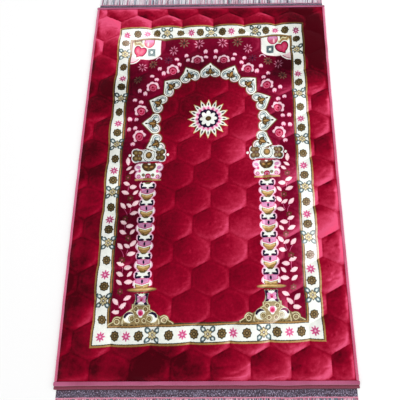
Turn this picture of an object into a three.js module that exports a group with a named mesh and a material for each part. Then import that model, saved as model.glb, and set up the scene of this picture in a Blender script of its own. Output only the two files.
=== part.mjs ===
// A padded prayer rug lying flat. Its pieces are one velvet sheet quilted over wadding in
// stretched hexagons, a folded tape along each side, and at each end a rolled band and a woven
// heading tape with its fringe. Millimetres, +Z up, +Y towards the head end with the arch.

import * as THREE from 'three';
import { mergeGeometries, mergeVertices } from 'three/addons/utils/BufferGeometryUtils.js';

// The rug between its bands, and how it lies: its sides bow a little, its ends run askew.
const rugWidth = 808;
const velvetLength = 1162;
const sideBow = -4;
const endSkew = 7;

// The padded sheet: its thin rim goes into the tapes, and its top climbs a shoulder to the puffs.
const seamTop = 6;
const puffRise = 9;
const rimBottom = 1.5;
const rimTop = 6.5;
const rimInset = 2.5;
const tongue = 7;
const shoulder = 18;

// The quilting: cells stand in staggered rows, and the cloth was cut slightly off its grain.
const cellPitch = 108;
const rowPitch = 76;
const cellCentre = { x: 11, y: -21 };
const grainSkew = 0.021;
const puffSharpness = 3;
const columnsPerCell = 6;
const linesPerRow = 4;
const leastLineGap = 4;

// Tapes are channels round the rim, and keep clear of it.
const clearance = 0.3;
const tapeWall = 1.2;
const stationPitch = 40;

// The side tape's round back, from the floor up to its upper lip.
const sideLip = 9;
const sideTapeBack = [
  { inFromEdge: 1.5, up: 0 },
  { inFromEdge: 0, up: 2 },
  { inFromEdge: 0, up: 5.5 },
  { inFromEdge: 1.8, up: 7.6 },
  { inFromEdge: 5, up: 8.4 },
];

// The end bands: a roll beside the velvet, a stitched groove, then a flat stripe.
const rollTop = 9;
const grooveTop = 4.6;
const stripeTop = 5.6;
const stripeRound = 1;
const grooveSlope = 0.5;

// The heading tapes, and fringe as flat 4-sided strands fused to them.
const yarnThickness = 2;
const headingInset = 6;
const strandsPerEnd = 104;
const strandWidth = { root: 4.4, tip: 3 };
const strandSway = 2.6;
const strandUneven = 4;

// One row for each end: direction along Y, widths of what is sewn there, and fringe length.
const ends = [
  { name: 'near', way: -1, roll: 9, groove: 5.5, stripe: 5.5, heading: 17, fringe: 28, seed: 11 },
  { name: 'far', way: 1, roll: 8, groove: 2.5, stripe: 2.5, heading: 9, fringe: 34, seed: 470 },
];

const velvetEnd = velvetLength / 2;
const cellHalf = cellPitch / 2;
const rowHalf = rowPitch / 2;
const zigzag = rowPitch / 6;

// Where a point of the flat, square rug comes to lie.
function laid(x, y) {
  const along = y / velvetEnd;
  return { x: x + sideBow * (1 - along * along), y: y + endSkew * x / rugWidth };
}

// +1 over the middle of the cells of a row, -1 over their upright sides.
function zigzagAt(x, row) {
  const stagger = (row & 1) * cellHalf;
  const offset = THREE.MathUtils.euclideanModulo(x - cellCentre.x - stagger + cellHalf, cellPitch);
  return 1 - 2 * Math.abs(offset - cellHalf) / cellHalf;
}

function rowCentre(x, row) {
  return cellCentre.y + row * rowPitch + grainSkew * (x - cellCentre.x);
}

// 0 in the middle of the quilted cell that holds the point, 1 on its seams.
function cellEdge(x, y) {
  const nearestRow = Math.round((y - rowCentre(x, 0)) / rowPitch);
  const tip = rowHalf + zigzag;
  let least = 1;
  for (const row of [nearestRow - 1, nearestRow, nearestRow + 1]) {
    const across = (1 - zigzagAt(x, row)) / 2;
    const slant = (Math.abs(y - rowCentre(x, row)) + across * 2 * zigzag) / tip;
    least = Math.min(least, Math.max(across, slant));
  }
  return least;
}

function topHeight(x, y) {
  const toSide = rugWidth / 2 - sideLip - Math.abs(x);
  const toEnd = velvetEnd - Math.abs(y);
  const climb = THREE.MathUtils.clamp(Math.min(toSide, toEnd) / shoulder, 0, 1);
  const share = 1 - (1 - climb) ** 2;
  const puff = 1 - cellEdge(x, y) ** puffSharpness;
  return rimTop + (seamTop + puffRise * puff - rimTop) * share;
}

function bare(geometry) {
  geometry.deleteAttribute('uv');
  geometry.deleteAttribute('normal');
  return geometry;
}

// A flat grid whose points are moved to those of the table: rows of points, farthest row first.
function drapedGrid(rows) {
  const grid = new THREE.PlaneGeometry(1, 1, rows[0].length - 1, rows.length - 1);
  const position = grid.getAttribute('position');
  rows.flat().forEach((point, index) => position.setXYZ(index, point.x, point.y, point.z));
  return bare(grid);
}

// A level face from the origin out to a closed loop of points.
function flatFan(loop) {
  const fan = new THREE.CircleGeometry(1, loop.length - 1);
  const position = fan.getAttribute('position');
  loop.forEach((point, index) => position.setXYZ(index + 1, point.x, point.y, point.z));
  return bare(fan);
}

function turnedOver(geometry) {
  const index = geometry.getIndex();
  for (let corner = 0; corner < index.count; corner += 3) {
    const first = index.getX(corner);
    index.setX(corner, index.getX(corner + 1));
    index.setX(corner + 1, first);
  }
  return geometry;
}

// Columns of the sheet's grid fall on the upright seams, with a few more at the rim.
function columnPlaces() {
  const rimEdge = rugWidth / 2 - rimInset;
  const lipEdge = rugWidth / 2 - sideLip;
  const shoulderMid = lipEdge - shoulder / 2;
  const innermost = shoulderMid - shoulder / 3;
  const step = cellPitch / columnsPerCell;
  const first = Math.ceil((-innermost - cellCentre.x) / step);
  const last = Math.floor((innermost - cellCentre.x) / step);
  const inner = [];
  for (let column = first; column <= last; column++) inner.push(cellCentre.x + column * step);
  return [-rimEdge, -lipEdge, -shoulderMid, ...inner, shoulderMid, lipEdge, rimEdge];
}

// Lines across a column follow the zigzag seams from one end of the rug past the other.
function seamLines(x) {
  const rowsOut = Math.ceil(velvetEnd / rowPitch) + 1;
  const lines = [];
  for (let line = -rowsOut * linesPerRow; line <= rowsOut * linesPerRow; line++) {
    const row = Math.floor(line / linesPerRow + 0.5);
    const share = 2 * (line / linesPerRow - row);
    lines.push(rowCentre(x, row) + share * (rowHalf + zigzag * zigzagAt(x, row)));
  }
  return lines;
}

// The sheet's top as rows of points. Lines crowd together where an end cuts a row of cells short.
function quiltedTop() {
  const rimEdge = velvetEnd + tongue;
  const shoulderMid = velvetEnd - shoulder / 2;
  const places = columnPlaces();
  const columns = places.map(seamLines);
  const reachesIn = (line) =>
    columns.some((lines) => lines[line] > -shoulderMid) &&
    columns.some((lines) => lines[line] < shoulderMid);
  const used = [...columns[0].keys()].filter(reachesIn);
  const points = places.map((x, column) => {
    const inner = used.map((line, order) => {
      const lowest = -shoulderMid + leastLineGap * (order + 1);
      const highest = shoulderMid - leastLineGap * (used.length - order);
      return THREE.MathUtils.clamp(columns[column][line], lowest, highest);
    });
    const ys = [-rimEdge, -velvetEnd, -shoulderMid, ...inner, shoulderMid, velvetEnd, rimEdge];
    return ys.map((y) => ({ ...laid(x, y), z: topHeight(x, y) }));
  });
  const rows = points[0].map((_, line) => points.map((column) => column[line]));
  return rows.reverse();
}

// The sheet's edge, anticlockwise from above and set at one height. Drawn in, it clears the
// lower lips of the tapes.
function rimLoop(rows, z, isDrawnIn) {
  const near = rows[rows.length - 1];
  const far = rows[0];
  const right = rows.map((row) => row[row.length - 1]).reverse();
  const left = rows.map((row) => row[0]);
  const loop = [...near.slice(0, -1), ...right.slice(0, -1), ...far.slice(1).reverse(), ...left];
  const insetX = isDrawnIn ? sideLip - rimInset + clearance : 0;
  const insetY = isDrawnIn ? tongue + clearance : 0;
  const scaleX = 1 - insetX / (rugWidth / 2 - rimInset);
  const scaleY = 1 - insetY / (velvetEnd + tongue);
  return loop.map((point) => ({ x: point.x * scaleX, y: point.y * scaleY, z }));
}

function quiltedSheet() {
  const top = quiltedTop();
  const soleEdge = rimLoop(top, 0, true);
  const rim = drapedGrid([
    rimLoop(top, rimTop, false),
    rimLoop(top, rimBottom, false),
    rimLoop(top, rimBottom, true),
    soleEdge,
  ]);
  return mergeVertices(mergeGeometries([drapedGrid(top), rim, turnedOver(flatFan(soleEdge))]));
}

// A section given as points is drawn along the rug, and each point goes where it lies.
function drawnOut(section, length, toPlace) {
  const shape = new THREE.Shape(section.map(([across, up]) => new THREE.Vector2(across, up)));
  const steps = Math.ceil(length / stationPitch);
  const settings = { depth: length, steps, bevelEnabled: false };
  const solid = bare(new THREE.ExtrudeGeometry(shape, settings));
  const position = solid.getAttribute('position');
  for (let at = 0; at < position.count; at++) {
    const flat = toPlace(position.getX(at), position.getZ(at) - length / 2);
    const spot = laid(flat.x, flat.y);
    position.setXYZ(at, spot.x, spot.y, position.getY(at));
  }
  return mergeVertices(solid);
}

// Channel section of the side tape, from its under lip round the back to its upper lip.
function sideTape(side) {
  const edge = rugWidth / 2;
  const lip = edge - sideLip;
  const web = edge - rimInset + clearance;
  const ceiling = rimTop + clearance;
  const section = [
    [lip, 0],
    ...sideTapeBack.map(({ inFromEdge, up }) => [edge - inFromEdge, up]),
    [lip, ceiling + tapeWall],
    [lip, ceiling],
    [web, ceiling],
    [web, tapeWall],
    [lip, tapeWall],
  ];
  const placed = section.map(([across, up]) => [side * across, up]);
  const length = velvetLength - 2 * clearance;
  return drawnOut(placed, length, (across, along) => ({ x: across, y: -along }));
}

// Section of an end band, measured out from the edge of the velvet: two lips hold the rim, and
// the doubled tape beyond them carries the groove and the stripe.
function endBand({ way, roll, groove, stripe }) {
  const slot = tongue + clearance;
  const ceiling = rimTop + clearance;
  const stripeStart = roll + groove;
  const outside = stripeStart + stripe;
  const section = [
    [0, 0],
    [outside, 0],
    [outside, stripeTop - stripeRound],
    [outside - stripeRound, stripeTop],
    [stripeStart + grooveSlope, stripeTop],
    [stripeStart - grooveSlope, grooveTop],
    [roll + grooveSlope, grooveTop],
    [roll, ceiling],
    [roll * 3 / 4, (ceiling + 3 * rollTop) / 4],
    [roll / 2, rollTop],
    [0, ceiling + tapeWall],
    [0, ceiling],
    [slot, ceiling],
    [slot, tapeWall],
    [0, tapeWall],
  ];
  const placed = section.map(([out, up]) => [way * (velvetEnd + out), up]);
  return drawnOut(placed, rugWidth, (along, across) => ({ x: across, y: along }));
}

// A heading tape and its strands, fused at their roots and lying level on the floor.
function fringe({ way, roll, groove, stripe, heading, fringe: reach, seed }) {
  const inner = velvetEnd + roll + groove + stripe + clearance;
  const root = inner + heading;
  const halfWidth = rugWidth / 2 - headingInset;
  const pitch = (2 * halfWidth - strandWidth.root) / (strandsPerEnd - 1);
  const spot = (x, out) => ({ ...laid(x, way * out), z: yarnThickness });
  const innerRow = [];
  const rootRow = [];
  const teeth = [];
  const strands = [];
  for (let strand = 0; strand < strandsPerEnd; strand++) {
    const left = -halfWidth + pitch * strand;
    const right = left + strandWidth.root;
    const sway = strandSway * (THREE.MathUtils.seededRandom(seed + 2 * strand) - 0.5);
    const tip = (left + right) / 2 + sway;
    const end = root + reach - strandUneven * THREE.MathUtils.seededRandom(seed + 2 * strand + 1);
    const tips = [spot(tip - strandWidth.tip / 2, end), spot(tip + strandWidth.tip / 2, end)];
    const roots = [spot(left, root), spot(right, root)];
    innerRow.push(spot(left, inner), spot(right, inner));
    rootRow.push(...roots);
    teeth.push(roots[0], ...tips, roots[1]);
    strands.push([tips, roots]);
  }
  const farthestFirst = (rows) => (way > 0 ? rows : rows.toReversed());
  const atFloor = (point) => ({ ...point, z: 0 });
  const tables = [[rootRow, innerRow], ...strands].map(farthestFirst);
  const edge = way > 0 ? [...innerRow, ...teeth.toReversed()] : [...teeth, ...innerRow.toReversed()];
  edge.push(edge[0]);
  const faces = tables.map((rows) => drapedGrid(rows));
  const soles = tables.map((rows) => turnedOver(drapedGrid(rows.map((row) => row.map(atFloor)))));
  const wall = drapedGrid([edge, edge.map(atFloor)]);
  return mergeVertices(mergeGeometries([...faces, ...soles, wall]));
}

function piece(name, geometry, finish) {
  const mesh = new THREE.Mesh(geometry, new THREE.MeshStandardMaterial(finish));
  mesh.name = name;
  return mesh;
}

const velvetFinish = { color: '#8e0f31', roughness: 0.9, metalness: 0 };
const tapeFinish = { color: '#c9628f', roughness: 0.7, metalness: 0 };
const yarnFinish = { color: '#8c8494', roughness: 0.85, metalness: 0 };

const rug = new THREE.Group();
rug.add(piece('quilted_velvet', quiltedSheet(), velvetFinish));
rug.add(piece('side_tape_left', sideTape(-1), tapeFinish));
rug.add(piece('side_tape_right', sideTape(1), tapeFinish));
for (const end of ends) {
  rug.add(piece(`end_band_${end.name}`, endBand(end), tapeFinish));
  rug.add(piece(`fringe_${end.name}`, fringe(end), yarnFinish));
}

// The origin is under the middle of the whole rug, on the floor.
const whole = new THREE.Box3().setFromObject(rug);
const middle = whole.getCenter(new THREE.Vector3());
rug.position.set(-middle.x, -middle.y, -whole.min.z);

export default rug;
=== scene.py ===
import math
import random

import bpy
from mathutils import Matrix, Vector, noise


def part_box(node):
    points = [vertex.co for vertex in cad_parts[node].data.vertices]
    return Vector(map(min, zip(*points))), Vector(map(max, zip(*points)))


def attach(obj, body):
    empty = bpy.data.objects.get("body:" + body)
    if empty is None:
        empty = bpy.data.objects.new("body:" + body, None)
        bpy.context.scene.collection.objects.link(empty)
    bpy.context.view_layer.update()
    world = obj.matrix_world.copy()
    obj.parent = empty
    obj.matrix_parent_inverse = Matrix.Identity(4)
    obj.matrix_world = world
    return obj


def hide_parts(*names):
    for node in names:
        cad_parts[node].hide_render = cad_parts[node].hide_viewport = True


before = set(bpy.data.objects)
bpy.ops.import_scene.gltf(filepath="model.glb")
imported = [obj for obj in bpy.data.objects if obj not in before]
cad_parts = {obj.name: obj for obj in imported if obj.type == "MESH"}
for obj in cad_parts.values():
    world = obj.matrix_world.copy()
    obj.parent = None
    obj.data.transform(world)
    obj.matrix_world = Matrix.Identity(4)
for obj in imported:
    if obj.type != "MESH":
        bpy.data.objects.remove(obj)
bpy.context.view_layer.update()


# ---------------------------------------------------------------------------------------------
# Padded velvet sheet.
# Printed short-pile velvet over wadding and a thin backing, machine-quilted in stretched
# hexagons. Its thin rim is tucked into the tapes round all four sides.
# ---------------------------------------------------------------------------------------------
mm = 0.001
rug_width = 808
velvet_end = 581
side_bow = -4
end_skew = 7
rim_inset = 2.5
tongue = 7
side_lip = 9
shoulder = 18
seam_top = 6
puff_rise = 9
rim_top = 6.5
rim_bottom = 1.5
sole_inset_x = 6.8
sole_inset_y = 7.3
puff_sharpness = 3.4
puff_least = 0.85
puff_most = 1.1
lump_height = 1.3
crease_depth = 1.1
crease_width = 0.16
pucker_height = 0.7
seeds_per_row = 97

cell_pitch = 108
row_pitch = 76
cell_centre_x = 11
cell_centre_y = -21
grain_skew = 0.021
cell_half = cell_pitch / 2
row_half = row_pitch / 2
zigzag = row_pitch / 6

velvet_low, velvet_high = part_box("quilted_velvet")
past_end = ((velvet_end + tongue) / velvet_end) ** 2
place_x = velvet_high[0] / mm - (rug_width / 2 - rim_inset + side_bow * (1 - past_end))
place_y = (velvet_low[1] + velvet_high[1]) / 2 / mm


def fade(distance, reach):
    """0 at an edge, rising smoothly to 1 at a reach from it."""
    share = min(max(distance / reach, 0), 1)
    return share * share * (3 - 2 * share)


def uneven(x, y, layer):
    """Smooth unevenness between about -1 and 1; each layer has its own."""
    return noise.noise(Vector((x, y, layer)))


def laid(x, y):
    """Where a point of the flat, square rug lies on the floor, in metres."""
    along = y / velvet_end
    lies_x = x + side_bow * (1 - along * along) + place_x
    lies_y = y + end_skew * x / rug_width + place_y
    return lies_x * mm, lies_y * mm


def zigzag_at(x, row):
    """+1 over the middle of a row's cells, -1 over their upright seams."""
    offset = (x - cell_centre_x - (row % 2) * cell_half + cell_half) % cell_pitch
    return 1 - 2 * abs(offset - cell_half) / cell_half


def row_centre(x, row):
    return cell_centre_y + row * row_pitch + grain_skew * (x - cell_centre_x)


def cell_puff(x, y):
    """1 in the middle of a quilted cell and 0 on its seams; the cell; and the place in it."""
    nearest = round((y - row_centre(x, 0)) / row_pitch)
    tip = row_half + zigzag
    best, cell, within = 0, (0, 0), (0, 0)
    for row in (nearest - 1, nearest, nearest + 1):
        from_left = x - cell_centre_x - (row % 2) * cell_half + cell_half
        across = (from_left % cell_pitch) / cell_half - 1
        up = y - row_centre(x, row)
        slants = ((up + 2 * zigzag * across) / tip, (up - 2 * zigzag * across) / tip)
        if max(map(abs, slants)) < 1:
            puff = math.prod(1 - abs(part) ** puff_sharpness for part in (across, *slants))
            if puff > best:
                best, cell, within = puff, (row, math.floor(from_left / cell_pitch)), (across, up / tip)
    return best, cell, within


def pad_height(x, y):
    """The height of the velvet above the floor, in millimetres."""
    to_side = rug_width / 2 - side_lip - abs(x)
    to_end = velvet_end - abs(y)
    climb = min(max(min(to_side, to_end) / shoulder, 0), 1)
    share = 1 - (1 - climb) ** 2
    puff, (row, column), _ = cell_puff(x, y)
    near_seam = (1 - puff) ** 3
    puff *= random.Random(row * seeds_per_row + column).uniform(puff_least, puff_most)
    lump = lump_height * uneven(x / 60, y / 45, 0)
    crease = crease_depth * max(0, 1 - abs(uneven(x / 60, y / 16, 7)) / crease_width)
    pucker = pucker_height * uneven(x / 9, y / 9, 3) * near_seam
    surface = seam_top + puff * (puff_rise + lump - crease) + pucker
    return rim_top + (surface - rim_top) * share


# Mesh lines cross a half cell, and a cell's height, at these shares, closest at the seams.
column_steps = (0, 0.03, 0.075, 0.13, 0.195, 0.265, 0.34, 0.42, 0.5)
line_steps = (0, 0.018, 0.045, 0.08, 0.125, 0.18, 0.24, 0.305, 0.37, 0.435, 0.5)
least_gap = 0.8


def both_ways(steps):
    """Shares of a span from seam to seam, crowded towards both seams."""
    return list(steps) + [1 - step for step in reversed(steps[1:-1])]


rim_edge_x = rug_width / 2 - rim_inset
lip_edge_x = rug_width / 2 - side_lip
inner_x = lip_edge_x - shoulder / 3
columns = []
for seam in range(-9, 10):
    columns += [cell_centre_x + (seam + step) * cell_half for step in both_ways(column_steps)]
columns = [x for x in columns if abs(x) < inner_x]
columns = [-rim_edge_x, -lip_edge_x, -inner_x] + columns + [inner_x, lip_edge_x, rim_edge_x]

rim_edge_y = velvet_end + tongue
inner_y = velvet_end - shoulder / 3
seam_lines = []
for x in columns:
    line = []
    for row in range(-9, 10):
        low = row_centre(x, row) - row_half - zigzag * zigzag_at(x, row)
        high = row_centre(x, row) + row_half + zigzag * zigzag_at(x, row)
        line += [low + (high - low) * step for step in both_ways(line_steps)]
    seam_lines.append(line)
used = [at for at, line in enumerate(zip(*seam_lines)) if max(line) > -inner_y and min(line) < inner_y]

flat_points = []
for order in range(-3, len(used) + 3):
    for x, line in zip(columns, seam_lines):
        if 0 <= order < len(used):
            lowest = -inner_y + least_gap * (order + 1)
            highest = inner_y - least_gap * (len(used) - order)
            y = min(max(line[used[order]], lowest), highest)
        elif order < 0:
            y = (-inner_y, -velvet_end, -rim_edge_y)[-order - 1]
        else:
            y = (inner_y, velvet_end, rim_edge_y)[order - len(used)]
        flat_points.append((x, y))


def face_outwards():
    """Turns the piece's faces outwards and shades it smooth."""
    bpy.ops.object.mode_set(mode="EDIT")
    bpy.ops.mesh.select_all(action="SELECT")
    bpy.ops.mesh.normals_make_consistent(inside=False)
    bpy.ops.object.mode_set(mode="OBJECT")
    bpy.ops.object.shade_smooth()


bpy.ops.object.select_all(action="DESELECT")
bpy.ops.mesh.primitive_grid_add(
    x_subdivisions=len(columns) - 1, y_subdivisions=len(used) + 5, size=1
)
velvet = bpy.context.object
velvet.name = velvet.data.name = "velvet_pad"
for vertex, (x, y) in zip(velvet.data.vertices, flat_points):
    vertex.co = (*laid(x, y), pad_height(x, y) * mm)

# The rim is turned down, under and in, and the thin backing closes the sole.
bpy.ops.object.mode_set(mode="EDIT")
bpy.ops.mesh.select_all(action="SELECT")
bpy.ops.mesh.region_to_loop()
turned_down = (0, 0, (rim_bottom - rim_top) * mm)
bpy.ops.mesh.extrude_edges_move(TRANSFORM_OT_translate={"value": turned_down})
middle = (place_x * mm, place_y * mm, 0)
drawn_in = (1 - sole_inset_x / rim_edge_x, 1 - sole_inset_y / rim_edge_y, 1)
bpy.ops.mesh.extrude_edges_move()
bpy.ops.transform.resize(value=drawn_in, center_override=middle)
bpy.ops.mesh.extrude_edges_move(TRANSFORM_OT_translate={"value": (0, 0, -rim_bottom * mm)})
bpy.ops.mesh.extrude_edges_move()
bpy.ops.mesh.merge(type="CENTER")
face_outwards()

# The print is placed on the flat cloth: the border stands square, and the arch a little left.
print_x = 4.8
print_y = 7.2
print_turn = 0.021
arch_axis = -0.5
arch_foot = 141
arch_ring = 183
column_line = -4


def on_print(x, y):
    """A point of the flat cloth in the print's own millimetres."""
    across = x - print_x
    return across, y - print_y - print_turn * across


# Half sizes of each motif's own patch of cloth, in its own millimetres.
motif_reach = {
    "ground": (0, 0),
    "star": (14, 14),
    "button": (14, 14),
    "tile": (21, 19),
    "rosette": (72, 72),
    "palmette": (38, 35),
    "rose": (25, 25),
    "bud": (8, 8),
    "gold_burst": (20, 20),
    "dark_burst": (20, 20),
    "pink_burst": (20, 20),
    "capital": (64, 23),
    "abacus": (47, 31),
    "shaft": (29, 26),
    "saucer": (42, 11),
    "neck": (30, 17),
    "foot": (94, 28),
    "corner": (68, 60),
    "leaf": (9, 14),
    "stem": (6, 28),
    "sprig": (11, 11),
}
motif_kinds = list(motif_reach)
placed = []


def print_motif(kind, x, y, turn=0, size=1, flip=1):
    placed.append((kind, x, y, math.radians(turn), size, flip))


def print_pair(kind, x, y, turn=0, size=1, axis=arch_axis):
    """The motif to the right of an axis, and its mirror image to the left."""
    print_motif(kind, axis + x, y, turn, size)
    print_motif(kind, axis - x, y, -turn, size, -1)


# Border: each side repeats star, button, tile, button.
border_column = 292
border_row = 474
border_repeat = 157
stretch_middle = 140
stretch_reach = 330
stretch_most = 13


def along_border(y):
    """The cloth's upper half was stretched, which carries the border's motifs down a little."""
    return y - stretch_most * max(0, 1 - ((y - stretch_middle) / stretch_reach) ** 2)


down_border = (("star", 0), ("button", 31), ("tile", 69), ("button", 118))
for repeat in range(-2, 4):
    for kind, down in down_border:
        print_pair(kind, border_column, along_border(repeat * border_repeat - down), axis=0)
print_pair("star", border_column, -border_row, axis=0)
across_border = (
    ("star", 221),
    ("button", 254),
    ("button", 188),
    ("tile", 152),
    ("button", 106),
    ("star", 69),
    ("button", 38),
)
for end in (-1, 1):
    print_motif("tile", 0, end * border_row)
    for kind, x in across_border:
        print_pair(kind, x, end * border_row, axis=0)

# Arch: sixteen to the turn, palmettes with roses between them and buds beyond.
sector = 360 / 16
rose_ring = 225
bud_places = ((-3.8, 236), (3.8, 236), (-3.9, 257), (3.9, 257))


def on_arch(ring, degrees):
    """A place on a ring round the arch's middle: out from its axis, and up."""
    angle = math.radians(degrees)
    return ring * math.sin(angle), arch_foot + ring * math.cos(angle)


for step in range(-5, 6):
    out, up = on_arch(arch_ring, step * sector)
    print_motif("palmette", arch_axis + out, up, turn=-step * sector)
for step in (1, 3, 5, 7, 9):
    print_pair("rose", *on_arch(rose_ring, step * sector / 2), turn=-step * 3)
for step in range(-4, 5):
    for aside, ring_out in bud_places:
        out, up = on_arch(ring_out, step * sector + aside)
        print_motif("bud", arch_axis + out, up)
print_pair("bud", 240, 73)
print_motif("rosette", -4, 153)

bursts = (
    # motif, out from the arch's axis, up, turn, size
    ("gold_burst", 91, 429, 0, 1.05),
    ("pink_burst", 40, 429, 0, 1.05),
    ("pink_burst", 126, 404, 10, 0.9),
    ("dark_burst", 141, 366, 0, 0.9),
    ("gold_burst", 193, 354, 20, 0.9),
    ("pink_burst", 228, 344, 0, 0.9),
    ("gold_burst", 240, 298, 12, 0.9),
)
for burst in bursts:
    print_pair(*burst)
print_pair("corner", 221, 405, axis=0)

# Columns: capital, abacus, six shafts, saucer, neck and foot.
column_axis = 181.7
shaft_top = -50
shaft_height = 51.3
shaft_middles = [("shaft", shaft_top - shaft_height * (unit + 0.5)) for unit in range(6)]
column_parts = (("abacus", -17), *shaft_middles, ("saucer", -357), ("neck", -382), ("foot", -420))
print_pair("capital", column_axis + 1.5, 35.5, axis=column_line)
for kind, up in column_parts:
    print_pair(kind, column_axis, up, axis=column_line)

# Vines outside the columns: a small repeat of two sprays, and a spray at each end.
vine_top = -52
vine_repeat = 117
vine_cut = -325
vine_sprays = (
    # motif, out from the column's line, up from the repeat's top, lean, size
    ("leaf", 247, 0, 68, 0.95),
    ("leaf", 227, -11, -85, 1),
    ("leaf", 248, -28, 68, 1),
    ("leaf", 218, -28, -45, 0.8),
    ("stem", 241, -16, 5, 0.6),
    ("sprig", 231, -46, 0, 1),
    ("leaf", 216, -61, -48, 1),
    ("leaf", 232, -68, 58, 0.85),
    ("leaf", 251, -68, 42, 0.95),
    ("leaf", 219, -90, -78, 1),
    ("stem", 242, -87, 25, 0.5),
    ("stem", 229, -80, -10, 0.5),
    ("sprig", 243, -106, 0, 1),
)
end_sprays = (
    # motif, out from the column's line, up, lean, size
    ("leaf", 247, 18, 0, 1),
    ("leaf", 243, -4, -58, 0.85),
    ("leaf", 232, -17, -57, 0.8),
    ("sprig", 243, -34, 0, 1),
    ("leaf", 220, -335, -86, 1.05),
    ("leaf", 248, -336, 55, 0.9),
    ("sprig", 244, -361, 0, 1),
    ("leaf", 253, -386, 48, 0.95),
    ("leaf", 222, -378, -64, 0.95),
    ("leaf", 233, -398, -47, 1),
    ("leaf", 249, -412, 90, 1),
    ("stem", 243, -397, 10, 0.45),
)
for repeat in range(3):
    for kind, x, up, lean, size in vine_sprays:
        y = vine_top - repeat * vine_repeat + up
        if y > vine_cut:
            print_pair(kind, x, y, turn=-lean, size=size, axis=column_line)
for kind, x, y, lean, size in end_sprays:
    print_pair(kind, x, y, turn=-lean, size=size, axis=column_line)

# The print is divided into squares, each with a list of the motifs that may reach it.
square_size = 24
squares = {}


def squares_over(middle, reach):
    first, last = (math.floor((middle + way * reach) / square_size) for way in (-1, 1))
    return range(first, last + 1)


for motif in placed:
    kind, x, y, _, size, _ = motif
    reach = math.hypot(*motif_reach[kind]) * size
    for column in squares_over(x, reach):
        for row in squares_over(y, reach):
            squares.setdefault((column, row), []).append(motif)


def on_motif(motif, x, y):
    """A point of the print in a motif's own millimetres."""
    _, centre_x, centre_y, turn, size, flip = motif
    across, up = x - centre_x, y - centre_y
    turned_x = across * math.cos(turn) + up * math.sin(turn)
    turned_y = up * math.cos(turn) - across * math.sin(turn)
    return flip * turned_x / size, turned_y / size


def nearest_motif(x, y):
    """The motif whose patch holds the point most deeply, or None on the bare ground."""
    best, found = 1, None
    for motif in squares.get((math.floor(x / square_size), math.floor(y / square_size)), ()):
        across, up = on_motif(motif, x, y)
        half_x, half_y = motif_reach[motif[0]]
        depth = max(abs(across) / half_x, abs(up) / half_y)
        if depth < best:
            best, found = depth, motif
    return found


cloth_map = velvet.data.uv_layers.new(name="cloth")
motif_map = velvet.data.uv_layers.new(name="motif")
motif_kind = velvet.data.attributes.new("motif_kind", "FLOAT", "FACE")
printed = [on_print(*point) for point in flat_points]
for face in velvet.data.polygons:
    if max(face.vertices) >= len(flat_points):
        continue
    corners = [printed[at] for at in face.vertices]
    centre_x = sum(x for x, y in corners) / len(corners)
    centre_y = sum(y for x, y in corners) / len(corners)
    motif = nearest_motif(centre_x, centre_y)
    motif_kind.data[face.index].value = motif_kinds.index(motif[0]) if motif else 0
    for loop, (x, y) in zip(face.loop_indices, corners):
        cloth_map.data[loop].uv = (x * mm, y * mm)
        if motif:
            motif_map.data[loop].uv = [part * mm for part in on_motif(motif, x, y)]

# Painted light and shade on the pile: the colour is painted lighter on slopes that face right and
# near, or far in the far rows, and darker on those that face away; it is painted lighter towards each
# cell's right and near side, lighter or darker in listed patches, lighter in a thin line beside the
# seams, and in soft random clouds.
painted_slope_light = 2.3
painted_cell_lean = 0.17
lean_across = 0.7
light_turns_from = 300
light_turn_reach = 220
light_turn = 2.2
shine_right = 0.85
shine_near = 0.6
shaded_side = 0.6
light_patch_relief = 1.2
relief_least = 0.3
relief_most = 1.7
field_relief = 0.8
margin_relief = 0.65
crease_shine = 0.22
crease_at = 0.72
crease_spread = 0.16
margin_x = 290
margin_y = 470
margin_fade = 40
cloud_shine = 0.2
probe = 1.5
# Patches of painted light where the shine is above 0, and of painted shade where it is below 0.
painted_light_patches = (
    # x, y, reach, shine
    (-396, 545, 130, 0.9), (-370, 470, 130, 0.75), (-254, 550, 130, 0.65),
    (-180, 556, 110, 0.2), (95, 556, 110, -0.4), (180, 556, 70, 0.3),
    (284, 560, 160, -0.8), (375, 480, 130, -0.9), (368, 385, 140, -1.0),
    (362, 186, 110, 0.35), (363, -50, 120, 0.45), (358, -130, 120, 0.3),
    (360, -225, 150, 1.05), (358, -360, 110, 0.25), (355, -540, 140, 0.35),
    (-362, 374, 110, -0.2), (-376, 226, 130, -0.45), (-376, 23, 140, -0.75),
    (-380, -161, 140, -0.35), (-381, -330, 140, -0.75), (-384, -506, 140, -0.5),
    (-295, -550, 110, -0.2), (-166, -555, 140, -0.85), (-40, -551, 120, -0.5),
    (103, -547, 110, 0.3), (224, -547, 120, 0.3), (-60, 330, 140, -0.45),
    (30, 330, 120, -0.35), (-40, 240, 100, -0.3), (-131, 189, 140, -0.55),
    (-136, -42, 140, -0.35), (-143, -210, 140, -0.4), (114, 52, 110, 0.55),
    (95, -135, 120, 0.45), (94, -222, 110, 0.35), (-24, -221, 100, 0.25),
    (-235, 420, 90, 1.3), (250, 340, 100, -0.8), (262, 250, 70, 0.3),
    (244, 118, 100, 0.2), (122, 150, 90, 0.3), (245, -44, 110, 0.45),
    (242, -223, 120, 0.35), (240, -359, 110, 0.3), (-285, 255, 140, -0.75),
    (-225, 335, 80, -0.3), (-259, 55, 120, -0.38), (-260, -162, 140, -0.6),
    (-285, -350, 90, -0.25), (190, -425, 100, 0.45),
)


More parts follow.
